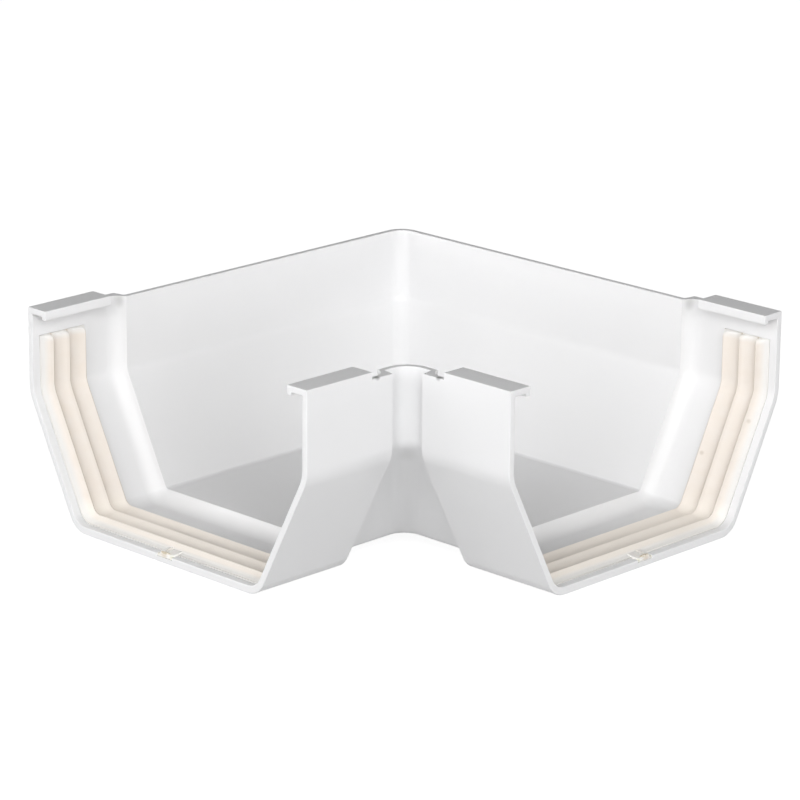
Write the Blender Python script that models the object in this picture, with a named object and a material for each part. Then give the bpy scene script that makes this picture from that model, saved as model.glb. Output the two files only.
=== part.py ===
"""Rainwater gutter corner, 90 degrees, for square-style plastic gutter.

One white moulding: a bent channel with a wider socket at each end and four snap clips on
the socket rims. A rubber seal sits in each socket. Z is up. One arm runs along -Y and the
other along +X. The origin is where the two gutter centre lines cross, on the underside of
the channel. Lengths are in metres.
"""

import math

import bmesh
import bpy
from mathutils import Vector

MM = 0.001

# Socket section, outside faces
SOCKET_HALF_WIDTH = 60.0 * MM
SOCKET_FOOT_HALF_WIDTH = 40.0 * MM
SOCKET_DEPTH = 64.2 * MM
KNEE_DROP = 24.7 * MM
KNEE_RADIUS = 12.0 * MM
FOOT_RADIUS = 8.0 * MM

# Walls
WALL = 2.1 * MM
FLOOR_EXTRA = 0.5 * MM
STEP = 4.0 * MM
EDGE_ROUND = 0.4 * MM

# Lengths along an arm
SOCKET_LENGTH = 34.0 * MM
NECK_LENGTH = 4.0 * MM
SHOULDER_RUN = 1.0 * MM
STOP_LENGTH = 5.2 * MM
INNER_CORNER_RADIUS = 6.0 * MM
OUTER_CORNER_RADIUS = 6.5 * MM

# Snap clips, each with a lip along its free edge
CLIP_GAP = 2.8 * MM
CLIP_WIDTH = 8.2 * MM
CLIP_THICKNESS = 2.1 * MM
LIP_THICKNESS = 1.8 * MM
LIP_DROP = 3.0 * MM

# Rubber seals, and the shallow seats that hold them
CLEARANCE = 0.3 * MM
SEAT_DEPTH = 0.6 * MM
SEAT_DRAFT = 0.1 * MM
SEAL_TOP_DROP = 7.4 * MM
SEAL_INSET = 3.0 * MM
SEAL_GAP = 8.8 * MM
FLANGE_HEIGHT = 0.2 * MM

# Ribs across each seal: every one rises towards the stop and drops steeply behind its crest
RIB_COUNT = 3
RIB_HEIGHT = 2.2 * MM
FIRST_RAMP = 3.3 * MM
RIB_TIP = 0.4 * MM
RIB_LEAN = 0.1 * MM
BACK_FLANGE = 0.6 * MM
RIB_END_ROUND = 1.5 * MM

# Pip on each seal's front edge, left by moulding, and the notch that it lies in
PIP_HALF_WIDTH = 3.1 * MM
PIP_ROOT = 1.6 * MM
PIP_INSET = 0.4 * MM
PIP_HEIGHT = 0.9 * MM
PIP_FALL = 0.6 * MM
PIP_CORNER = 1.6 * MM
PIP_ROUND = 0.3 * MM
NOTCH_DEPTH = 0.9 * MM
DIMPLE_ACROSS = -1.1 * MM
DIMPLE_INSET = 0.3 * MM
DIMPLE_HALF_LENGTH = 1.6 * MM
DIMPLE_HALF_WIDTH = 0.7 * MM
DIMPLE_DEPTH = 0.8 * MM
CUT_OVERRUN = 1.0 * MM

# A rib's ramp and crest: shares of the ramp's length, then shares of the rib's height
RIB_RAMP = ((0.0, 0.0), (0.35, 0.13), (0.7, 0.45), (0.93, 0.87), (1.0, 1.0))
TIP_SHARE = 0.9

# Facets
KNEE_SEGMENTS = 4
FOOT_SEGMENTS = 8
CORNER_SEGMENTS = 8
SHOULDER_SEGMENTS = 7
EDGE_SEGMENTS = 2
RIB_END_SEGMENTS = 4
PIP_SEGMENTS = 4
DIMPLE_SEGMENTS = 20
SHARP_ANGLE = math.radians(35.0)
SHARP_EDGE = math.radians(60.0)
ROUND_PROFILE = 0.5
FACING = 0.9
NEAR = 0.05 * MM

# Places along an arm, measured from the crossing of the centre lines
BEND_END = SOCKET_HALF_WIDTH - STEP + INNER_CORNER_RADIUS
SHOULDER_OUTSIDE = BEND_END + NECK_LENGTH
SHOULDER_INSIDE = SHOULDER_OUTSIDE + STOP_LENGTH
ARM_LENGTH = SHOULDER_OUTSIDE + SOCKET_LENGTH
CLIP_END = SHOULDER_INSIDE + CLIP_GAP
SEAL_BACK = SHOULDER_INSIDE + SEAL_GAP
SEAL_FRONT = ARM_LENGTH - SEAL_INSET
FIRST_CREST = SEAL_FRONT - FIRST_RAMP
LAST_CREST = SEAL_BACK + BACK_FLANGE + RIB_LEAN + RIB_TIP
RIB_PITCH = (FIRST_CREST - LAST_CREST) / (RIB_COUNT - 1)
PIP_BACK = SEAL_FRONT - PIP_ROOT
PIP_FRONT = ARM_LENGTH - PIP_INSET

# Heights
FLOOR_OUTSIDE = -STEP
FLOOR_INSIDE = FLOOR_OUTSIDE + WALL + FLOOR_EXTRA
RIM = FLOOR_OUTSIDE + SOCKET_DEPTH
CLIP_TOP = RIM + CLIP_THICKNESS
LIP_FOOT = CLIP_TOP - LIP_DROP
KNEE = RIM - KNEE_DROP
SEAL_TOP = RIM - SEAL_TOP_DROP

# The slanted lower wall, measured from the vertical
SLANT = math.atan2(SOCKET_HALF_WIDTH - SOCKET_FOOT_HALF_WIDTH, KNEE - FLOOR_OUTSIDE)
QUARTER = math.pi / 2.0
KNEE_TANGENT = KNEE_RADIUS * math.tan(SLANT / 2.0)
FOOT_TANGENT = FOOT_RADIUS * math.tan((QUARTER - SLANT) / 2.0)
KNEE_CENTRE = (SOCKET_HALF_WIDTH - KNEE_RADIUS, KNEE + KNEE_TANGENT)
FOOT_CENTRE = (SOCKET_FOOT_HALF_WIDTH - FOOT_TANGENT, FLOOR_OUTSIDE + FOOT_RADIUS)

# The stop inside the shoulder is a hollow arc that ends in a crest
STOP_TURN = 2.0 * math.atan2(STEP, STOP_LENGTH)
STOP_RADIUS = STOP_LENGTH / math.sin(STOP_TURN)


# Scene and materials


def clear_scene():
    for item in list(bpy.data.objects):
        bpy.data.objects.remove(item, do_unlink=True)


def make_material(name, colour, roughness):
    material = bpy.data.materials.new(name)
    material.use_nodes = True
    shader = material.node_tree.nodes["Principled BSDF"]
    shader.inputs["Base Color"].default_value = (*colour, 1.0)
    shader.inputs["Roughness"].default_value = roughness
    shader.inputs["Metallic"].default_value = 0.0
    return material


def make_object(name, mesh_data, material=None):
    mesh = bpy.data.meshes.new(name)
    bmesh.ops.recalc_face_normals(mesh_data, faces=mesh_data.faces)
    mesh_data.to_mesh(mesh)
    mesh_data.free()
    if material:
        mesh.materials.append(material)
    mesh.shade_smooth()
    mesh.set_sharp_from_angle(angle=SHARP_ANGLE)
    item = bpy.data.objects.new(name, mesh)
    bpy.context.scene.collection.objects.link(item)
    return item


def ease_edges(mesh_data, edges, offset, segments):
    bmesh.ops.bevel(
        mesh_data,
        geom=edges,
        offset=offset,
        segments=segments,
        profile=ROUND_PROFILE,
        affect="EDGES",
        clamp_overlap=True,
    )


def add_boolean(item, other, operation):
    other.hide_render = True
    other.display_type = "WIRE"
    modifier = item.modifiers.new(other.name, "BOOLEAN")
    modifier.operation = operation
    modifier.solver = "EXACT"
    modifier.object = other


# Section of the gutter: samples run from the near rim, under the floor, to the far rim


def half_samples(side):
    samples = [("wall", side, RIM)]
    samples.append(("wall", side, SEAL_TOP + CLEARANCE + SEAT_DRAFT))
    samples.append(("wall", side, SEAL_TOP + CLEARANCE))
    for step in range(KNEE_SEGMENTS + 1):
        samples.append(("knee", side, SLANT * step / KNEE_SEGMENTS))
    for step in range(FOOT_SEGMENTS + 1):
        share = step / FOOT_SEGMENTS
        samples.append(("foot", side, SLANT + (QUARTER - SLANT) * share))
    return samples


def section_samples():
    return half_samples(1) + half_samples(-1)[::-1]


def place_sample(sample, offset):
    """Across and height of a sample moved inwards from the socket's outside face."""
    kind, side, value = sample
    if kind == "wall":
        return side * (SOCKET_HALF_WIDTH - offset), value
    centre, radius = (KNEE_CENTRE, KNEE_RADIUS) if kind == "knee" else (FOOT_CENTRE, FOOT_RADIUS)
    across = centre[0] + (radius - offset) * math.cos(value)
    return side * across, centre[1] - (radius - offset) * math.sin(value)


def floor_share(sample):
    """0 on the side walls and 1 on the floor."""
    kind, _side, value = sample
    if kind == "foot":
        return (value - SLANT) / (QUARTER - SLANT)
    return 0.0


def inside_offset(sample):
    return WALL + FLOOR_EXTRA * floor_share(sample)


def to_other_arm(point):
    """Mirrors a point of the -Y arm to the +X arm."""
    return Vector((-point[1], -point[0], point[2]))


def arm_point(across, back, height):
    return Vector((across, -back, height))


def corner_point(across, height, radius, turn):
    """A point on the bend. Turn runs from 0 where the arm starts to 45 degrees at the mitre."""
    along = across + radius * (1.0 - math.sin(turn))
    return Vector((across + radius * (1.0 - math.cos(turn)), -along, height))


# Sweep: one closed loop of edges is extruded from station to station


def start_loop(mesh_data, points):
    verts = [mesh_data.verts.new(point) for point in points]
    for index, vert in enumerate(verts):
        mesh_data.edges.new((vert, verts[(index + 1) % len(verts)]))
    return verts


def extrude_loop(mesh_data, verts, points):
    edges = []
    for index, vert in enumerate(verts):
        follower = verts[(index + 1) % len(verts)]
        edges.append(mesh_data.edges.get((vert, follower)))
    made = bmesh.ops.extrude_edge_only(mesh_data, edges=edges)
    fresh = {part for part in made["geom"] if isinstance(part, bmesh.types.BMVert)}
    moved = []
    for vert, point in zip(verts, points):
        partner = next(e.other_vert(vert) for e in vert.link_edges if e.other_vert(vert) in fresh)
        partner.co = point
        moved.append(partner)
    return moved


def sweep(mesh_data, stations):
    first = start_loop(mesh_data, stations[0])
    last = first
    for points in stations[1:]:
        last = extrude_loop(mesh_data, last, points)
    return first, last


def close_ring_end(mesh_data, verts):
    """Caps a wall section: the first half of the loop is outside and the second half inside."""
    half = len(verts) // 2
    for index in range(half - 1):
        partner = len(verts) - 1 - index
        mesh_data.faces.new((verts[index], verts[index + 1], verts[partner - 1], verts[partner]))


# White moulding: channel, shoulders and sockets


def in_seat(sample):
    return sample[0] != "wall" or sample[2] < SEAL_TOP + CLEARANCE + NEAR


def socket_station(samples, outside_back, outside_step, inside_back, inside_step, seated=False):
    points = []
    for sample in samples:
        across, height = place_sample(sample, outside_step)
        points.append(arm_point(across, outside_back, height))
    for sample in reversed(samples):
        depth = inside_offset(sample) + inside_step
        if seated and in_seat(sample):
            depth -= SEAT_DEPTH
        across, height = place_sample(sample, depth)
        points.append(arm_point(across, inside_back, height))
    return points


def straight_station(samples, back, seated=False):
    return socket_station(samples, back, 0.0, back, 0.0, seated)


def shoulder_station(samples, share):
    """Share runs from 0 at the socket to 1 at the channel."""
    turn = STOP_TURN * share
    outside_back = SHOULDER_OUTSIDE - SHOULDER_RUN * share
    outside_step = STEP * (1.0 - math.cos(math.pi * share)) / 2.0
    inside_back = SHOULDER_INSIDE - STOP_RADIUS * math.sin(turn)
    inside_step = STOP_RADIUS * (1.0 - math.cos(turn))
    return socket_station(samples, outside_back, outside_step, inside_back, inside_step)


def corner_radius(sample, depth):
    """Plan radius of the bend, the same centre being used for both faces of a wall."""
    if sample[1] > 0:
        return INNER_CORNER_RADIUS + depth
    return OUTER_CORNER_RADIUS - depth


def corner_station(samples, turn):
    points = []
    for sample in samples:
        across, height = place_sample(sample, STEP)
        points.append(corner_point(across, height, corner_radius(sample, 0.0), turn))
    for sample in reversed(samples):
        across, height = place_sample(sample, STEP + inside_offset(sample))
        points.append(corner_point(across, height, corner_radius(sample, WALL), turn))
    return points


def arm_stations(samples):
    seat_front = SEAL_FRONT + CLEARANCE
    seat_back = SEAL_BACK - CLEARANCE
    stations = [straight_station(samples, ARM_LENGTH)]
    stations.append(straight_station(samples, seat_front + SEAT_DRAFT))
    stations.append(straight_station(samples, seat_front, seated=True))
    stations.append(straight_station(samples, seat_back, seated=True))
    stations.append(straight_station(samples, seat_back - SEAT_DRAFT))
    stations.append(straight_station(samples, CLIP_END))
    for step in range(SHOULDER_SEGMENTS + 1):
        stations.append(shoulder_station(samples, step / SHOULDER_SEGMENTS))
    for step in range(CORNER_SEGMENTS + 1):
        stations.append(corner_station(samples, QUARTER / 2.0 * step / CORNER_SEGMENTS))
    return stations


def body_stations():
    samples = section_samples()
    stations = arm_stations(samples)
    others = [[to_other_arm(point) for point in station] for station in stations[:-1]]
    return stations + others[::-1]


# Snap clips: grown out of the socket rims


def arm_frame(second_arm):
    """Directions across the arm, towards its near wall, and along it, towards its open end."""
    if second_arm:
        return Vector((0.0, -1.0, 0.0)), Vector((1.0, 0.0, 0.0))
    return Vector((1.0, 0.0, 0.0)), Vector((0.0, -1.0, 0.0))


def grow(mesh_data, faces, move):
    made = bmesh.ops.extrude_face_region(mesh_data, geom=faces)
    verts = [part for part in made["geom"] if isinstance(part, bmesh.types.BMVert)]
    bmesh.ops.translate(mesh_data, verts=verts, vec=move)
    bmesh.ops.delete(mesh_data, geom=faces, context="FACES")
    mesh_data.normal_update()
    return [part for part in made["geom"] if isinstance(part, bmesh.types.BMFace)]


def find_faces(mesh_data, direction, ranges):
    """Faces that look in a direction and whose centres are inside every (axis, low, high)."""
    found = []
    for face in mesh_data.faces:
        centre = face.calc_center_median()
        inside = all(low < centre.dot(axis) < high for axis, low, high in ranges)
        if inside and face.normal.dot(direction) > FACING:
            found.append(face)
    return found


def add_clip(mesh_data, second_arm, side):
    across, along = arm_frame(second_arm)
    outwards = across * side
    up = Vector((0.0, 0.0, 1.0))
    span = (along, CLIP_END, ARM_LENGTH)
    over_wall = (outwards, SOCKET_HALF_WIDTH - WALL, SOCKET_HALF_WIDTH)
    at_rim = (up, RIM - NEAR, RIM + NEAR)
    rim_faces = find_faces(mesh_data, up, (span, over_wall, at_rim))
    grow(mesh_data, rim_faces, up * CLIP_THICKNESS)
    wall_line = SOCKET_HALF_WIDTH - WALL
    at_wall = (outwards, wall_line - NEAR, wall_line + NEAR)
    in_plate = (up, RIM, CLIP_TOP)
    plate_faces = find_faces(mesh_data, -outwards, (span, at_wall, in_plate))
    reach = CLIP_WIDTH - WALL - LIP_THICKNESS
    bridge_faces = grow(mesh_data, plate_faces, -outwards * reach)
    grow(mesh_data, bridge_faces, -outwards * LIP_THICKNESS)
    tip_line = SOCKET_HALF_WIDTH - CLIP_WIDTH
    in_lip = (outwards, tip_line, tip_line + LIP_THICKNESS)
    lip_faces = find_faces(mesh_data, -up, (span, in_lip, at_rim))
    grow(mesh_data, lip_faces, -up * (LIP_DROP - CLIP_THICKNESS))


def along_arm(point):
    return max(-point.y, point.x)


def needs_rounding(edge):
    """Open ends, rims and clips have their outer edges eased."""
    if len(edge.link_faces) != 2 or edge.calc_face_angle_signed() < SHARP_EDGE:
        return False
    at_end = all(abs(along_arm(vert.co) - ARM_LENGTH) < NEAR for vert in edge.verts)
    at_top = all(vert.co.z > LIP_FOOT - NEAR for vert in edge.verts)
    return at_end or at_top


def cut_box(mesh_data, low, high, second_arm):
    """A box given by two corners in the -Y arm, added there or mirrored to the +X arm."""
    made = bmesh.ops.create_cube(mesh_data, size=1.0)
    middle = (Vector(low) + Vector(high)) / 2.0
    size = Vector(high) - Vector(low)
    for vert in made["verts"]:
        point = middle + Vector(part * extent for part, extent in zip(vert.co, size))
        vert.co = to_other_arm(point) if second_arm else point
    bmesh.ops.recalc_face_normals(mesh_data, faces=mesh_data.faces)
    return made["verts"]


def make_body(material):
    mesh_data = bmesh.new()
    first, last = sweep(mesh_data, body_stations())
    close_ring_end(mesh_data, first)
    close_ring_end(mesh_data, last)
    bmesh.ops.recalc_face_normals(mesh_data, faces=mesh_data.faces)
    for second_arm in (False, True):
        for side in (1, -1):
            add_clip(mesh_data, second_arm, side)
    edges = [edge for edge in mesh_data.edges if needs_rounding(edge)]
    ease_edges(mesh_data, edges, EDGE_ROUND, EDGE_SEGMENTS)
    body = make_object("angle_body", mesh_data, material)
    cutter = bmesh.new()
    half = PIP_HALF_WIDTH + CLEARANCE
    low = (-half, -ARM_LENGTH - CUT_OVERRUN, FLOOR_INSIDE - NOTCH_DEPTH)
    high = (half, -PIP_BACK + CLEARANCE, FLOOR_INSIDE + CUT_OVERRUN)
    for second_arm in (False, True):
        cut_box(cutter, low, high, second_arm)
    add_boolean(body, make_object("pip_notches", cutter), "DIFFERENCE")
    return body


# Rubber seals


def rib_profile():
    """Top of the seal as (distance from the crossing, share of the ribs' height)."""
    profile = []
    foot = SEAL_FRONT
    for index in range(RIB_COUNT):
        crest = FIRST_CREST - RIB_PITCH * index
        for run, rise in RIB_RAMP:
            profile.append((foot + (crest - foot) * run, rise))
        profile.append((crest - RIB_TIP, TIP_SHARE))
        foot = crest - RIB_TIP - RIB_LEAN
    profile.append((foot, 0.0))
    profile.append((SEAL_BACK, 0.0))
    return profile


def end_share(sample):
    """The ribs' height falls away in a quarter round at the seal's two ends."""
    if sample[0] != "wall":
        return 1.0
    left = 1.0 - (SEAL_TOP - sample[2]) / RIB_END_ROUND
    return math.sqrt(max(0.0, 1.0 - left * left))


def seal_station(sample, second_arm):
    under = CLEARANCE - SEAT_DEPTH
    profile = [(SEAL_BACK, under), (SEAL_FRONT, under)]
    rise = (RIB_HEIGHT - FLANGE_HEIGHT) * end_share(sample)
    for back, share in rib_profile():
        profile.append((back, FLANGE_HEIGHT + rise * share))
    points = []
    for back, height in profile:
        across, level = place_sample(sample, inside_offset(sample) + height)
        point = arm_point(across, back, level)
        points.append(to_other_arm(point) if second_arm else point)
    return points


def seal_samples():
    chosen = [sample for sample in section_samples() if sample[0] != "wall"]
    turns = [QUARTER * step / RIB_END_SEGMENTS for step in range(RIB_END_SEGMENTS + 1)]
    heights = [SEAL_TOP - RIB_END_ROUND * (1.0 - math.cos(turn)) for turn in turns]
    near_end = [("wall", 1, height) for height in heights]
    far_end = [("wall", -1, height) for height in reversed(heights)]
    return near_end + chosen + far_end


def make_pip(name, second_arm):
    """A tongue with rounded front corners, which slopes down towards the open end."""
    mesh_data = bmesh.new()
    low = (-PIP_HALF_WIDTH, -PIP_FRONT, FLOOR_INSIDE - NOTCH_DEPTH + CLEARANCE)
    high = (PIP_HALF_WIDTH, -PIP_BACK, FLOOR_INSIDE + PIP_HEIGHT)
    cut_box(mesh_data, low, high, second_arm)
    corners = []
    for edge in mesh_data.edges:
        in_front = all(along_arm(vert.co) > PIP_FRONT - NEAR for vert in edge.verts)
        upright = abs(edge.verts[0].co.z - edge.verts[1].co.z) > NEAR
        if in_front and upright:
            corners.append(edge)
    ease_edges(mesh_data, corners, PIP_CORNER, PIP_SEGMENTS)
    top = [vert for vert in mesh_data.verts if vert.co.z > FLOOR_INSIDE]
    for vert in top:
        share = (along_arm(vert.co) - PIP_BACK) / (PIP_FRONT - PIP_BACK)
        vert.co.z -= PIP_FALL * share
    rim = {edge for vert in top for edge in vert.link_edges if edge.other_vert(vert) in top}
    ease_edges(mesh_data, list(rim), PIP_ROUND, EDGE_SEGMENTS)
    return make_object(name, mesh_data)


def make_dimple(name, second_arm):
    """An oval cutter for the sink mark on the pip."""
    mesh_data = bmesh.new()
    made = bmesh.ops.create_cone(
        mesh_data,
        cap_ends=True,
        segments=DIMPLE_SEGMENTS,
        radius1=1.0,
        radius2=1.0,
        depth=2.0 * DIMPLE_DEPTH,
    )
    for vert in made["verts"]:
        across = DIMPLE_ACROSS + DIMPLE_HALF_WIDTH * vert.co.x
        back = SEAL_FRONT - DIMPLE_INSET + DIMPLE_HALF_LENGTH * vert.co.y
        point = arm_point(across, back, FLOOR_INSIDE + PIP_HEIGHT + vert.co.z)
        vert.co = to_other_arm(point) if second_arm else point
    return make_object(name, mesh_data)


def make_seal(name, material, second_arm):
    mesh_data = bmesh.new()
    stations = [seal_station(sample, second_arm) for sample in seal_samples()]
    first, last = sweep(mesh_data, stations)
    mesh_data.faces.new(first)
    mesh_data.faces.new(last)
    seal = make_object(name, mesh_data, material)
    add_boolean(seal, make_pip(name + "_pip", second_arm), "UNION")
    add_boolean(seal, make_dimple(name + "_dimple", second_arm), "DIFFERENCE")
    return seal


# Build

clear_scene()
white_plastic = make_material("white_plastic", (0.83, 0.84, 0.85), 0.25)
cream_rubber = make_material("cream_rubber", (0.80, 0.66, 0.50), 0.55)
make_body(white_plastic)
make_seal("seal_y", cream_rubber, False)
make_seal("seal_x", cream_rubber, True)
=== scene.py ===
"""Looks of a white gutter angle with two rubber seals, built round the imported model."""

import math

import bpy
from mathutils import Matrix, Vector


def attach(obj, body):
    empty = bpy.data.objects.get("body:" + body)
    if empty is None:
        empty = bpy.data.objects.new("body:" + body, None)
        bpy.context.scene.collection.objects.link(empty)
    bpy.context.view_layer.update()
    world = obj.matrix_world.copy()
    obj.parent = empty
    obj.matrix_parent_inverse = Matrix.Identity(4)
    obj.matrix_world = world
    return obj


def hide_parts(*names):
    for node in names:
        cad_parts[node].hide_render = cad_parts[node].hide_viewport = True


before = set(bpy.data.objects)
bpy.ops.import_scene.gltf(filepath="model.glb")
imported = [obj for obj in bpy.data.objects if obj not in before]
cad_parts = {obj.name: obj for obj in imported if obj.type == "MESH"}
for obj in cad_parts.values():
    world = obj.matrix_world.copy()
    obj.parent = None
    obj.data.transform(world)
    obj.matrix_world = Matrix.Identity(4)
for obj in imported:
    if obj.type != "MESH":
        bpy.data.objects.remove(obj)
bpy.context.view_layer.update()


# The moulded angle.
# It is one piece of white rainwater plastic: channel, two sockets and four snap clips come out
# of one mould. It has a soft gloss, with a very faint ripple over the flat walls.

PLASTIC_WHITE = (0.862, 0.862, 0.867, 1.0)
PLASTIC_WHITE_AT = 0.8
PLASTIC_SHADE = (0.847, 0.847, 0.853, 1.0)
PLASTIC_SHADE_AT = 0.2
PLASTIC_IOR = 1.48
PLASTIC_ROUGHNESS_LOW = 0.31
PLASTIC_ROUGHNESS_HIGH = 0.36
RIPPLE_SIZE = 0.030
PLASTIC_GRAIN_SIZE = 0.0006
PLASTIC_GRAIN_SHARE = 0.06
PLASTIC_BUMP_STRENGTH = 0.12
PLASTIC_BUMP_DEPTH = 0.0002

# The clouded pattern of every moulded surface runs between these levels
CLOUD_LOW = 0.3
CLOUD_HIGH = 0.7
CLOUD_DETAIL = 3.0
CLOUD_ROUGHNESS = 0.45
GRAIN_DETAIL = 2.0
GRAIN_ROUGHNESS = 0.6

# Painted shade, as across, along and height on both arms, and one at the knee of the inner angle:
# spots at the slot ends of the far clips and beside the near clips, and a soft one at the knee
SPOT_CORE = 0.2
SLOT_END_PAINTED_SHADE = (0.50, 0.50, 0.485, 1.0)
SLOT_END_SHARE = 0.85
SLOT_END_PLACE = (-0.0552, 0.0680, 0.0590)
SLOT_END_REACH = (0.0023, 0.0023, 0.0040)
CLIP_FOOT_PAINTED_SHADE = (0.24, 0.24, 0.24, 1.0)
CLIP_FOOT_SHARE = 0.8
CLIP_FOOT_PLACE = (0.0595, 0.0720, 0.0602)
CLIP_FOOT_REACH = (0.0014, 0.0014, 0.0012)
KNEE_PAINTED_SHADE = (0.55, 0.55, 0.54, 1.0)
KNEE_SHARE = 0.3
KNEE_PLACE = (0.0570, -0.0570, 0.0312)
KNEE_REACH = (0.0042, 0.0042, 0.0052)

CREASE_ANGLE = math.radians(33.0)
SAME_POINT = 0.000002
LARGE_FACES_LEAD = 100


def deselect_everything():
    bpy.ops.object.select_all(action="DESELECT")


def smooth_copy(node, name):
    """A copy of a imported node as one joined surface, with its faces shaded by area."""
    deselect_everything()
    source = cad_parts[node]
    piece = bpy.data.objects.new(name, source.data.copy())
    piece.data.name = name
    bpy.context.scene.collection.objects.link(piece)
    piece.select_set(True)
    bpy.context.view_layer.objects.active = piece
    bpy.ops.object.mode_set(mode="EDIT")
    bpy.ops.mesh.select_all(action="SELECT")
    bpy.ops.mesh.remove_doubles(threshold=SAME_POINT)
    bpy.ops.mesh.customdata_custom_splitnormals_clear()
    bpy.ops.object.mode_set(mode="OBJECT")
    bpy.ops.object.shade_smooth_by_angle(angle=CREASE_ANGLE)
    weighted = piece.modifiers.new("weighted", "WEIGHTED_NORMAL")
    weighted.mode = "FACE_AREA"
    weighted.weight = LARGE_FACES_LEAD
    weighted.keep_sharp = True
    bpy.ops.object.modifier_apply(modifier=weighted.name)
    return piece


def moulded_surface_group():
    """Cloudy variation and fine grain of a moulded surface, as a mask and a height."""
    group = bpy.data.node_groups.new("moulded_surface", "ShaderNodeTree")
    face = group.interface
    face.new_socket("Position", in_out="INPUT", socket_type="NodeSocketVector")
    face.new_socket("Cloud Scale", in_out="INPUT", socket_type="NodeSocketFloat")
    face.new_socket("Grain Scale", in_out="INPUT", socket_type="NodeSocketFloat")
    face.new_socket("Grain Share", in_out="INPUT", socket_type="NodeSocketFloat")
    face.new_socket("Cloud", in_out="OUTPUT", socket_type="NodeSocketFloat")
    face.new_socket("Height", in_out="OUTPUT", socket_type="NodeSocketFloat")
    nodes = group.nodes
    links = group.links
    start = nodes.new("NodeGroupInput")
    end = nodes.new("NodeGroupOutput")
    cloud = nodes.new("ShaderNodeTexNoise")
    cloud.inputs["Detail"].default_value = CLOUD_DETAIL
    cloud.inputs["Roughness"].default_value = CLOUD_ROUGHNESS
    grain = nodes.new("ShaderNodeTexNoise")
    grain.inputs["Detail"].default_value = GRAIN_DETAIL
    grain.inputs["Roughness"].default_value = GRAIN_ROUGHNESS
    blend = nodes.new("ShaderNodeMix")
    blend.data_type = "FLOAT"
    links.new(start.outputs["Position"], cloud.inputs["Vector"])
    links.new(start.outputs["Position"], grain.inputs["Vector"])
    links.new(start.outputs["Cloud Scale"], cloud.inputs["Scale"])
    links.new(start.outputs["Grain Scale"], grain.inputs["Scale"])
    links.new(start.outputs["Grain Share"], blend.inputs["Factor"])
    links.new(cloud.outputs["Fac"], blend.inputs["A"])
    links.new(grain.outputs["Fac"], blend.inputs["B"])
    links.new(cloud.outputs["Fac"], end.inputs["Cloud"])
    links.new(blend.outputs["Result"], end.inputs["Height"])
    return group


def soft_spot_group():
    """1 at a place and falling to 0 at its reach, for stains, painted shade and painted highlights.
    """
    group = bpy.data.node_groups.new("soft_spot", "ShaderNodeTree")
    face = group.interface
    face.new_socket("Position", in_out="INPUT", socket_type="NodeSocketVector")
    face.new_socket("Place", in_out="INPUT", socket_type="NodeSocketVector")
    face.new_socket("Reach", in_out="INPUT", socket_type="NodeSocketVector")
    face.new_socket("Mask", in_out="OUTPUT", socket_type="NodeSocketFloat")
    nodes = group.nodes
    links = group.links
    start = nodes.new("NodeGroupInput")
    end = nodes.new("NodeGroupOutput")
    away = nodes.new("ShaderNodeVectorMath")
    away.operation = "SUBTRACT"
    share = nodes.new("ShaderNodeVectorMath")
    share.operation = "DIVIDE"
    distance = nodes.new("ShaderNodeVectorMath")
    distance.operation = "LENGTH"
    links.new(start.outputs["Position"], away.inputs[0])
    links.new(start.outputs["Place"], away.inputs[1])
    links.new(away.outputs["Vector"], share.inputs[0])
    links.new(start.outputs["Reach"], share.inputs[1])
    links.new(share.outputs["Vector"], distance.inputs[0])
    fall = nodes.new("ShaderNodeMapRange")
    fall.interpolation_type = "SMOOTHSTEP"
    fall.inputs["From Min"].default_value = SPOT_CORE
    fall.inputs["From Max"].default_value = 1.0
    fall.inputs["To Min"].default_value = 1.0
    fall.inputs["To Max"].default_value = 0.0
    links.new(distance.outputs["Value"], fall.inputs["Value"])
    links.new(fall.outputs["Result"], end.inputs["Mask"])
    return group


moulded_surface = moulded_surface_group()
soft_spot = soft_spot_group()


def new_material(name):
    material = bpy.data.materials.new(name)
    material.use_nodes = True
    return material, material.node_tree.nodes, material.node_tree.links


def value_range(nodes, links, source, low, high, to_low, to_high):
    """Maps the part of a mask between low and high to another range."""
    node = nodes.new("ShaderNodeMapRange")
    node.inputs["From Min"].default_value = low
    node.inputs["From Max"].default_value = high
    node.inputs["To Min"].default_value = to_low
    node.inputs["To Max"].default_value = to_high
    links.new(source, node.inputs["Value"])
    return node.outputs["Result"]


def moulded_finish(nodes, links, place, cloud_size, grain_size, grain_share):
    """The cloud mask and the height of a moulded surface with clouds and grain of these sizes."""
    surface = nodes.new("ShaderNodeGroup")
    surface.node_tree = moulded_surface
    surface.inputs["Cloud Scale"].default_value = 1.0 / cloud_size
    surface.inputs["Grain Scale"].default_value = 1.0 / grain_size
    surface.inputs["Grain Share"].default_value = grain_share
    links.new(place, surface.inputs["Position"])
    return surface.outputs["Cloud"], surface.outputs["Height"]


def two_tones(nodes, links, cloud, low_at, low, high_at, high):
    """One colour up to a level of the clouds, another above a higher level."""
    ramp = nodes.new("ShaderNodeValToRGB")
    first, last = ramp.color_ramp.elements
    first.position = low_at
    first.color = low
    last.position = high_at
    last.color = high
    links.new(cloud, ramp.inputs["Fac"])
    return ramp.outputs["Color"]


def relief(nodes, links, shader, height, strength, depth):
    """Gives the shader the fine relief of a height."""
    bump = nodes.new("ShaderNodeBump")
    bump.inputs["Strength"].default_value = strength
    bump.inputs["Distance"].default_value = depth
    links.new(height, bump.inputs["Height"])
    links.new(bump.outputs["Normal"], shader.inputs["Normal"])


def mix_colour(nodes, links, mask, under, over):
    mix = nodes.new("ShaderNodeMix")
    mix.data_type = "RGBA"
    links.new(mask, mix.inputs["Factor"])
    links.new(under, mix.inputs["A"])
    mix.inputs["B"].default_value = over
    return mix.outputs["Result"]


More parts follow.
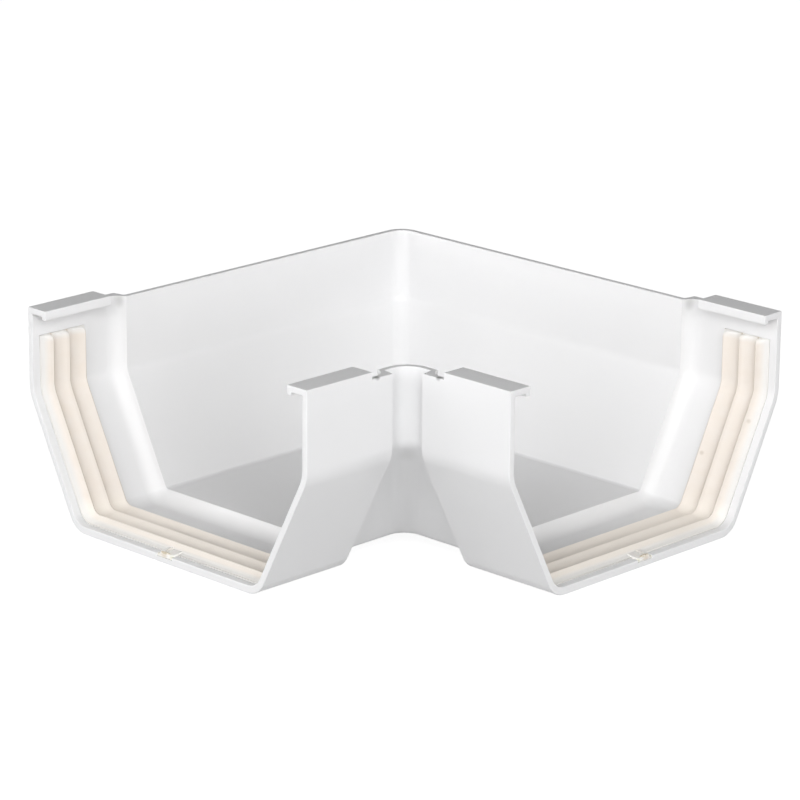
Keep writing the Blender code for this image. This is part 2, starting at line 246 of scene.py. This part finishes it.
def stain_and_painted_light(nodes, links, position, colour, centre, reach, share, spot_tone):
    """The colour with a soft spot of stain, painted shade or painted highlight over it, its strength
    at most the given share.
    """
    spot = nodes.new("ShaderNodeGroup")
    spot.node_tree = soft_spot
    spot.inputs["Place"].default_value = centre
    spot.inputs["Reach"].default_value = reach
    links.new(position, spot.inputs["Position"])
    strength = value_range(nodes, links, spot.outputs["Mask"], 0.0, 1.0, 0.0, share)
    return mix_colour(nodes, links, strength, colour, spot_tone)


def on_arm(place, axis):
    """A place given as across, along and height, on the arm with that axis."""
    across, along, height = place
    return (across, -along, height) if axis == "Y" else (along, -across, height)


def white_plastic_material():
    material, nodes, links = new_material("white_rainwater_plastic")
    shader = nodes["Principled BSDF"]
    shader.inputs["IOR"].default_value = PLASTIC_IOR
    place = nodes.new("ShaderNodeTexCoord").outputs["Object"]
    cloud, height = moulded_finish(
        nodes, links, place, RIPPLE_SIZE, PLASTIC_GRAIN_SIZE, PLASTIC_GRAIN_SHARE
    )
    colour = two_tones(
        nodes, links, cloud, PLASTIC_SHADE_AT, PLASTIC_SHADE, PLASTIC_WHITE_AT, PLASTIC_WHITE
    )
    # Painted shade at the ends of the far clips' slots, beside the near clips and at the knee
    for centre, reach, share, spot_tone in (
        (on_arm(SLOT_END_PLACE, "Y"), SLOT_END_REACH, SLOT_END_SHARE, SLOT_END_PAINTED_SHADE),
        (on_arm(SLOT_END_PLACE, "X"), SLOT_END_REACH, SLOT_END_SHARE, SLOT_END_PAINTED_SHADE),
        (on_arm(CLIP_FOOT_PLACE, "Y"), CLIP_FOOT_REACH, CLIP_FOOT_SHARE, CLIP_FOOT_PAINTED_SHADE),
        (on_arm(CLIP_FOOT_PLACE, "X"), CLIP_FOOT_REACH, CLIP_FOOT_SHARE, CLIP_FOOT_PAINTED_SHADE),
        (KNEE_PLACE, KNEE_REACH, KNEE_SHARE, KNEE_PAINTED_SHADE),
    ):
        colour = stain_and_painted_light(nodes, links, place, colour, centre, reach, share, spot_tone)
    links.new(colour, shader.inputs["Base Color"])
    roughness = value_range(
        nodes, links, cloud, CLOUD_LOW, CLOUD_HIGH, PLASTIC_ROUGHNESS_LOW, PLASTIC_ROUGHNESS_HIGH
    )
    links.new(roughness, shader.inputs["Roughness"])
    relief(nodes, links, shader, height, PLASTIC_BUMP_STRENGTH, PLASTIC_BUMP_DEPTH)
    return material


moulded_angle = smooth_copy("angle_body", "moulded_angle")
moulded_angle.data.materials.clear()
moulded_angle.data.materials.append(white_plastic_material())
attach(moulded_angle, "root")
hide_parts("angle_body")


# The two socket seals.
# Each is one strip of cream rubber laid across the socket floor and up both walls, with three
# saw-tooth ribs. It is matt and slightly mottled, lighter on the socket floor by painted light,
# and tan at the ribs' feet with dirt and painted shade.

RUBBER_CREAM = (0.845, 0.786, 0.726, 1.0)
RUBBER_WARM = (0.832, 0.762, 0.690, 1.0)
RUBBER_PALE = (0.850, 0.840, 0.822, 1.0)
RUBBER_FLOOR_PAINTED_LIGHT = (0.895, 0.838, 0.768, 1.0)
RUBBER_PALE_WITH_PAINTED_LIGHT = (0.930, 0.915, 0.885, 1.0)
RUBBER_DIRT_AND_SHADE = (0.50, 0.42, 0.33, 1.0)
RUBBER_IOR = 1.5
RUBBER_ROUGHNESS_LOW = 0.58
RUBBER_ROUGHNESS_HIGH = 0.70
MOTTLE_SIZE = 0.004
RUBBER_GRAIN_SIZE = 0.0004
RUBBER_GRAIN_SHARE = 0.5
RUBBER_BUMP_STRENGTH = 0.3
RUBBER_BUMP_DEPTH = 0.00015

# The strip lies between these distances along the arm and ends at this height, and two of its
# ribs have their feet at the last two distances
SEAL_BACK = 0.080
SEAL_FRONT = 0.097
SEAL_TOP = 0.0528
RIB_FEET = (0.0869, 0.0932)

# Where the rubber turns paler towards its front and its top, and how high the painted light on
# the socket floor reaches
PALE_FROM = 0.0946
PALE_TO = 0.0961
TOP_PALE_FROM = 0.0508
TOP_PALE_TO = 0.0526
PALE_SHARE = 0.9
FLOOR_PART_TOP = 0.006

# Tan dirt and painted shade at the foot of a rib, by the distance in front of the foot, and its share
# on the floor
FOOT_DIRT_AND_SHADE = ((-0.0024, 0.0), (-0.00084, 0.16), (0.0, 0.8), (0.0002, 0.25), (0.0014, 0.0))
FLOOR_FOOT_SHARE = 0.18

# The thin edges of rubber round a seal, and the painted shade on their front faces on the socket
# floor
BEAD_WIDTH = 0.00034
BEAD_SHADE = (0.60, 0.585, 0.56, 1.0)
BEAD_SHADE_SHARE = 0.72
FILL_SHADE_SHARE = 0.25
SHADE_FADE = 0.00006
EDGE_FACING = 0.9
EDGE_NEAR = 0.00002

# On and beside the pip, as across, along and height: a painted highlight, painted shade at its
# flank, a stain at the gate and yellow flecks
PIP_PAINTED_HIGHLIGHT = (0.940, 0.910, 0.865, 1.0)
PIP_HIGHLIGHT_SHARE = 0.75
PIP_HIGHLIGHT_PLACE = (0.0016, 0.0976, -0.0007)
PIP_HIGHLIGHT_REACH = (0.0019, 0.0026, 0.0014)
PIP_FLANK_SHADE_SHARE = 0.65
PIP_FLANK_SHADE_PLACE = (-0.0011, 0.0967, -0.0006)
PIP_FLANK_SHADE_REACH = (0.0011, 0.0021, 0.0012)
GATE_STAIN = (0.66, 0.56, 0.42, 1.0)
GATE_STAIN_SHARE = 0.6
GATE_STAIN_PLACE = (-0.0006, 0.0993, -0.0016)
GATE_STAIN_REACH = (0.0022, 0.0012, 0.0012)
FLECK_YELLOW = (0.76, 0.74, 0.58, 1.0)
FLECK_SHARE = 0.55
LEFT_FLECK_PLACE = (-0.0033, 0.0993, -0.0018)
RIGHT_FLECK_PLACE = (0.0026, 0.0994, -0.0018)
FLECK_REACH = (0.0011, 0.0011, 0.0011)

# Specks of dirt, in the object's own coordinates
SPECK_PLACES = {
    "seal_y": (),
    "seal_x": ((0.0820, 0.0462, 0.0165), (0.0946, 0.0526, 0.0280)),
}
SPECK_REACH = (0.0010, 0.0010, 0.0010)
SPECK_SHARE = 0.4


def reach_on_arm(reach, axis):
    """A size given as across, along and height, turned to the arm with that axis."""
    across, along, height = reach
    return (across, along, height) if axis == "Y" else (along, across, height)


def joined_values(nodes, links, operation, first, second):
    """Two values joined by one operation, such as MULTIPLY or MAXIMUM."""
    node = nodes.new("ShaderNodeMath")
    node.operation = operation
    links.new(first, node.inputs[0])
    links.new(second, node.inputs[1])
    return node.outputs[0]


def foot_mask(nodes, links, along):
    """High at the foot of each rib, fading both ways, from the distance along the arm."""
    share = value_range(nodes, links, along, SEAL_BACK, SEAL_FRONT, 0.0, 1.0)
    ramp = nodes.new("ShaderNodeValToRGB")
    stops = ramp.color_ramp.elements
    for stop in stops:
        stop.color = (0.0, 0.0, 0.0, 1.0)
    for foot in RIB_FEET:
        for distance, level in FOOT_DIRT_AND_SHADE:
            stop = stops.new((foot + distance - SEAL_BACK) / (SEAL_FRONT - SEAL_BACK))
            stop.color = (level, level, level, 1.0)
    links.new(share, ramp.inputs["Fac"])
    return ramp.outputs["Color"]


def rubber_material(name, axis, along_sign, shade_share, specks):
    """Cream rubber: paler at front and top, painted light on the floor, dirt and painted shade at rib
    feet.
    """
    material, nodes, links = new_material(name)
    shader = nodes["Principled BSDF"]
    shader.inputs["IOR"].default_value = RUBBER_IOR
    place = nodes.new("ShaderNodeTexCoord").outputs["Object"]
    cloud, height = moulded_finish(
        nodes, links, place, MOTTLE_SIZE, RUBBER_GRAIN_SIZE, RUBBER_GRAIN_SHARE
    )
    split = nodes.new("ShaderNodeSeparateXYZ")
    links.new(place, split.inputs["Vector"])
    level = split.outputs["Z"]
    signed = nodes.new("ShaderNodeMath")
    signed.operation = "MULTIPLY"
    signed.inputs[1].default_value = along_sign
    links.new(split.outputs[axis], signed.inputs[0])
    along = signed.outputs[0]

    on_floor = value_range(nodes, links, level, 0.0, FLOOR_PART_TOP, 1.0, 0.0)
    at_front = value_range(nodes, links, along, PALE_FROM, PALE_TO, 0.0, PALE_SHARE)
    front_of_floor = joined_values(nodes, links, "MULTIPLY", at_front, on_floor)
    at_top = value_range(nodes, links, level, TOP_PALE_FROM, TOP_PALE_TO, 0.0, PALE_SHARE)
    face = SEAL_FRONT + BEAD_WIDTH
    beyond = value_range(nodes, links, along, face - SHADE_FADE, face, 0.0, shade_share)
    shade = joined_values(nodes, links, "MULTIPLY", beyond, on_floor)
    foot_share = value_range(nodes, links, level, 0.0, FLOOR_PART_TOP, FLOOR_FOOT_SHARE, 1.0)
    feet = foot_mask(nodes, links, along)
    at_foot = joined_values(nodes, links, "MULTIPLY", feet, foot_share)

    colour = two_tones(nodes, links, cloud, CLOUD_LOW, RUBBER_WARM, CLOUD_HIGH, RUBBER_CREAM)
    # Painted light on the socket floor, painted shade on the bead's front face there, and tan dirt
    # with painted shade at the ribs' feet
    for mask, tone in (
        (on_floor, RUBBER_FLOOR_PAINTED_LIGHT),
        (at_front, RUBBER_PALE),
        (front_of_floor, RUBBER_PALE_WITH_PAINTED_LIGHT),
        (at_top, RUBBER_PALE),
        (shade, BEAD_SHADE),
        (at_foot, RUBBER_DIRT_AND_SHADE),
    ):
        colour = mix_colour(nodes, links, mask, colour, tone)
    # A painted highlight and painted shade at the pip, then a stain at its gate and yellow flecks
    for centre, reach, share, spot_tone in (
        (PIP_HIGHLIGHT_PLACE, PIP_HIGHLIGHT_REACH, PIP_HIGHLIGHT_SHARE, PIP_PAINTED_HIGHLIGHT),
        (PIP_FLANK_SHADE_PLACE, PIP_FLANK_SHADE_REACH, PIP_FLANK_SHADE_SHARE, RUBBER_DIRT_AND_SHADE),
        (GATE_STAIN_PLACE, GATE_STAIN_REACH, GATE_STAIN_SHARE, GATE_STAIN),
        (LEFT_FLECK_PLACE, FLECK_REACH, FLECK_SHARE, FLECK_YELLOW),
        (RIGHT_FLECK_PLACE, FLECK_REACH, FLECK_SHARE, FLECK_YELLOW),
    ):
        centre = on_arm(centre, axis)
        reach = reach_on_arm(reach, axis)
        colour = stain_and_painted_light(nodes, links, place, colour, centre, reach, share, spot_tone)
    for speck in specks:
        colour = stain_and_painted_light(
            nodes, links, place, colour, speck, SPECK_REACH, SPECK_SHARE, RUBBER_DIRT_AND_SHADE
        )
    links.new(colour, shader.inputs["Base Color"])
    roughness = value_range(
        nodes, links, cloud, CLOUD_LOW, CLOUD_HIGH, RUBBER_ROUGHNESS_LOW, RUBBER_ROUGHNESS_HIGH
    )
    links.new(roughness, shader.inputs["Roughness"])
    relief(nodes, links, shader, height, RUBBER_BUMP_STRENGTH, RUBBER_BUMP_DEPTH)
    return material


def at_seal_edge(face, towards_end):
    """Whether a face of a seal is part of its front, back or top edge."""
    along = face.center.dot(towards_end)
    facing = face.normal.dot(towards_end)
    in_front = facing > EDGE_FACING and abs(along - SEAL_FRONT) < EDGE_NEAR
    behind = facing < -EDGE_FACING and abs(along - SEAL_BACK) < EDGE_NEAR
    on_top = face.normal.z > EDGE_FACING and face.center.z > SEAL_TOP - EDGE_NEAR
    return in_front or behind or on_top


def seat_bead(node, name, towards_end):
    """The thin edge of rubber that is squeezed out and fills the seat round a seal."""
    bead = smooth_copy(node, name)
    bpy.ops.object.mode_set(mode="EDIT")
    bpy.ops.mesh.select_mode(type="FACE")
    bpy.ops.mesh.select_all(action="DESELECT")
    bpy.ops.object.mode_set(mode="OBJECT")
    for face in bead.data.polygons:
        face.select = not at_seal_edge(face, towards_end)
    bpy.ops.object.mode_set(mode="EDIT")
    bpy.ops.mesh.delete(type="FACE")
    bpy.ops.object.mode_set(mode="OBJECT")
    thickness = bead.modifiers.new("thickness", "SOLIDIFY")
    thickness.thickness = BEAD_WIDTH
    thickness.offset = 1.0
    bpy.ops.object.modifier_apply(modifier=thickness.name)
    return bead


# The notch of the plastic in front of a seal, which the rubber round the pip fills
NOTCH_HALF_WIDTH = 0.00344
NOTCH_BACK = 0.0970
NOTCH_FRONT = 0.09945
NOTCH_FLOOR = -0.00234
NOTCH_TOP = -0.00150
NOTCH_FILL_ROUND = 0.0002
NOTCH_FILL_ROUND_SEGMENTS = 3


def notch_fill(name, axis):
    """The rubber that fills the notch in the plastic round and under the pip."""
    deselect_everything()
    along = 0.5 * (NOTCH_BACK + NOTCH_FRONT)
    height = 0.5 * (NOTCH_FLOOR + NOTCH_TOP)
    middle = on_arm((0.0, along, height), axis)
    spread = reach_on_arm(
        (2.0 * NOTCH_HALF_WIDTH, NOTCH_FRONT - NOTCH_BACK, NOTCH_TOP - NOTCH_FLOOR), axis
    )
    bpy.ops.mesh.primitive_cube_add(size=1.0, location=middle, scale=spread)
    fill = bpy.context.active_object
    fill.name = name
    fill.data.name = name
    bpy.ops.object.transform_apply(location=True, rotation=True, scale=True)
    rounded = fill.modifiers.new("rounded", "BEVEL")
    rounded.width = NOTCH_FILL_ROUND
    rounded.segments = NOTCH_FILL_ROUND_SEGMENTS
    bpy.ops.object.modifier_apply(modifier=rounded.name)
    bpy.ops.object.shade_smooth_by_angle(angle=CREASE_ANGLE)
    return fill


for node, axis, sign in (("seal_y", "Y", -1.0), ("seal_x", "X", 1.0)):
    arm = axis.lower()
    towards_end = Vector(on_arm((0.0, 1.0, 0.0), axis))
    cream = rubber_material("cream_" + node, axis, sign, 0.0, SPECK_PLACES[node])
    bead_cream = rubber_material("cream_bead_" + arm, axis, sign, BEAD_SHADE_SHARE, ())
    fill_cream = rubber_material("cream_fill_" + arm, axis, sign, FILL_SHADE_SHARE, ())
    seal = smooth_copy(node, "socket_" + node)
    bead = seat_bead(node, "seat_bead_" + arm, towards_end)
    fill = notch_fill("notch_fill_" + arm, axis)
    for piece, finish in ((seal, cream), (bead, bead_cream), (fill, fill_cream)):
        piece.data.materials.clear()
        piece.data.materials.append(finish)
        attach(piece, "root")
    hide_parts(node)


# The torn gates, one on each seal's pip.
# Here the rubber entered its mould, and the sprue was broken off. It leaves a low ragged nub,
# yellow-brown where the torn rubber holds dirt.

GATE_TORN = (0.66, 0.58, 0.44, 1.0)
GATE_TORN_AT = 0.42
GATE_CLEAN = (0.86, 0.80, 0.70, 1.0)
GATE_CLEAN_AT = 0.58
GATE_ROUGHNESS = 0.7
GATE_BUMP_STRENGTH = 0.6
GATE_BUMP_DEPTH = 0.0002
GATE_HALF_SIZE = (0.0020, 0.0006, 0.0004)
GATE_PLACE = (-0.0004, 0.0989, -0.0011)
GATE_SUBDIVISIONS = 4
TEAR_SIZE = 0.0009
TEAR_DEPTH = 0.0005


def torn_rubber_material():
    material, nodes, links = new_material("torn_rubber")
    shader = nodes["Principled BSDF"]
    shader.inputs["Roughness"].default_value = GATE_ROUGHNESS
    place = nodes.new("ShaderNodeTexCoord").outputs["Object"]
    cloud, height = moulded_finish(
        nodes, links, place, TEAR_SIZE, RUBBER_GRAIN_SIZE, RUBBER_GRAIN_SHARE
    )
    colour = two_tones(nodes, links, cloud, GATE_TORN_AT, GATE_TORN, GATE_CLEAN_AT, GATE_CLEAN)
    links.new(colour, shader.inputs["Base Color"])
    relief(nodes, links, shader, height, GATE_BUMP_STRENGTH, GATE_BUMP_DEPTH)
    return material


torn_rubber = torn_rubber_material()
ragged = bpy.data.textures.new("ragged", "CLOUDS")
ragged.noise_scale = TEAR_SIZE
for name, axis in (("torn_gate_y", "Y"), ("torn_gate_x", "X")):
    deselect_everything()
    bpy.ops.mesh.primitive_ico_sphere_add(
        subdivisions=GATE_SUBDIVISIONS,
        radius=1.0,
        location=on_arm(GATE_PLACE, axis),
        scale=reach_on_arm(GATE_HALF_SIZE, axis),
    )
    gate = bpy.context.active_object
    gate.name = name
    gate.data.name = name
    bpy.ops.object.transform_apply(location=True, rotation=True, scale=True)
    tear = gate.modifiers.new("tear", "DISPLACE")
    tear.texture = ragged
    tear.texture_coords = "LOCAL"
    tear.strength = TEAR_DEPTH
    tear.mid_level = 0.5
    bpy.ops.object.modifier_apply(modifier=tear.name)
    bpy.ops.object.shade_smooth()
    gate.data.materials.append(torn_rubber)
    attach(gate, "root")


# Studio: a white floor that the sockets stand on, soft boxes and the camera.
# The floor bounces light up under the walls. It shows white to the camera and in reflections,
# and keeps a faint shadow. The light comes from low soft boxes, so tops stay darker than walls.

FLOOR_SIZE = 12.0
FLOOR_HEIGHT = -0.004
FLOOR_BOUNCE = 0.38
FLOOR_SHADOW = 0.30
FLOOR_GLOW = 0.91
WORLD_LEVEL = 0.40
SKY_FADE_FROM = 0.06
SKY_FADE_TO = 0.24
SKY_OVERHEAD = 0.03

deselect_everything()
bpy.ops.mesh.primitive_plane_add(size=FLOOR_SIZE, location=(0.0, 0.0, FLOOR_HEIGHT))
studio_floor = bpy.context.active_object
studio_floor.name = "studio_floor"


def shown_background(nodes, links, path):
    """1 for rays that show the background: camera, glossy and transmission rays."""
    seen_or_glossy = joined_values(
        nodes, links, "MAXIMUM", path.outputs["Is Camera Ray"], path.outputs["Is Glossy Ray"]
    )
    through_glass = path.outputs["Is Transmission Ray"]
    return joined_values(nodes, links, "MAXIMUM", seen_or_glossy, through_glass)


floor_material, nodes, links = new_material("studio_floor_white")
nodes.remove(nodes["Principled BSDF"])
bounce = nodes.new("ShaderNodeBsdfDiffuse")
bounce.inputs["Color"].default_value = (FLOOR_BOUNCE, FLOOR_BOUNCE, FLOOR_BOUNCE, 1.0)
shadow = nodes.new("ShaderNodeBsdfDiffuse")
shadow.inputs["Color"].default_value = (FLOOR_SHADOW, FLOOR_SHADOW, FLOOR_SHADOW, 1.0)
glow = nodes.new("ShaderNodeEmission")
glow.inputs["Strength"].default_value = FLOOR_GLOW
seen = nodes.new("ShaderNodeAddShader")
links.new(shadow.outputs[0], seen.inputs[0])
links.new(glow.outputs[0], seen.inputs[1])
choice = nodes.new("ShaderNodeMixShader")
path = nodes.new("ShaderNodeLightPath")
links.new(shown_background(nodes, links, path), choice.inputs["Fac"])
links.new(bounce.outputs[0], choice.inputs[1])
links.new(seen.outputs[0], choice.inputs[2])
links.new(choice.outputs[0], nodes["Material Output"].inputs["Surface"])
studio_floor.data.materials.append(floor_material)

world = bpy.data.worlds.new("studio_world")
bpy.context.scene.world = world
world.use_nodes = True
nodes = world.node_tree.nodes
links = world.node_tree.links
backdrop = nodes["Background"]
backdrop.inputs["Color"].default_value = (1.0, 1.0, 1.0, 1.0)
path = nodes.new("ShaderNodeLightPath")
shown = shown_background(nodes, links, path)
level = value_range(nodes, links, shown, 0.0, 1.0, WORLD_LEVEL, 1.0)
sky = nodes.new("ShaderNodeTexCoord")
sky_parts = nodes.new("ShaderNodeSeparateXYZ")
links.new(sky.outputs["Generated"], sky_parts.inputs["Vector"])
upwards = sky_parts.outputs["Z"]
fade = value_range(nodes, links, upwards, SKY_FADE_FROM, SKY_FADE_TO, 1.0, SKY_OVERHEAD)
plain = joined_values(nodes, links, "MAXIMUM", fade, path.outputs["Is Camera Ray"])
strength = joined_values(nodes, links, "MULTIPLY", level, plain)
links.new(strength, backdrop.inputs["Strength"])


LAMP_TARGET = Vector((0.02, -0.02, 0.03))
LAMP_DISTANCE = 1.35
LAMP_SIZE = 0.8
BACK_LAMP_SIZE = 0.5


def soft_box(name, azimuth, elevation, power, size=LAMP_SIZE):
    """A square area lamp on a sphere round the part, given by its direction in degrees."""
    lamp = bpy.data.lights.new(name, "AREA")
    lamp.shape = "SQUARE"
    lamp.size = size
    lamp.energy = power
    item = bpy.data.objects.new(name, lamp)
    bpy.context.scene.collection.objects.link(item)
    turn = math.radians(azimuth)
    rise = math.radians(elevation)
    outwards = Vector(
        (math.cos(turn) * math.cos(rise), math.sin(turn) * math.cos(rise), math.sin(rise))
    )
    item.location = LAMP_TARGET + LAMP_DISTANCE * outwards
    item.rotation_euler = (-outwards).to_track_quat("-Z", "Y").to_euler()


soft_box("key_box", -46.0, 36.0, 4.3)
soft_box("left_front_box", -70.0, 20.0, 7.0)
soft_box("right_front_box", -22.0, 20.0, 7.2)
soft_box("left_side_box", -120.0, 20.0, 5.2)
soft_box("right_side_box", 28.0, 20.0, 2.5)
soft_box("back_left_box", 188.0, 7.0, 5.5, size=BACK_LAMP_SIZE)
soft_box("back_right_box", 82.0, 7.0, 5.5, size=BACK_LAMP_SIZE)

# Camera where the photograph was taken from, worked out from the edges of the part
CAMERA_PLACE = (0.7553, -0.7765, 0.3576)
CAMERA_YAW = math.radians(44.26)
CAMERA_PITCH = math.radians(17.07)
CAMERA_ROLL = math.radians(0.53)
CAMERA_LENS = 164.49
CAMERA_SENSOR = 36.0

forward = Vector(
    (
        -math.sin(CAMERA_YAW) * math.cos(CAMERA_PITCH),
        math.cos(CAMERA_YAW) * math.cos(CAMERA_PITCH),
        -math.sin(CAMERA_PITCH),
    )
)
level_right = Vector((math.cos(CAMERA_YAW), math.sin(CAMERA_YAW), 0.0))
level_up = level_right.cross(forward)
right = math.cos(CAMERA_ROLL) * level_right + math.sin(CAMERA_ROLL) * level_up
up = math.cos(CAMERA_ROLL) * level_up - math.sin(CAMERA_ROLL) * level_right
turn = Matrix((right, up, -forward)).transposed()
camera_data = bpy.data.cameras.new("photo_camera")
camera_data.sensor_width = CAMERA_SENSOR
camera_data.lens = CAMERA_LENS
camera = bpy.data.objects.new("photo_camera", camera_data)
bpy.context.scene.collection.objects.link(camera)
camera.matrix_world = Matrix.Translation(Vector(CAMERA_PLACE)) @ turn.to_4x4()
bpy.context.scene.camera = camera
bpy.context.scene.view_settings.view_transform = "Standard"
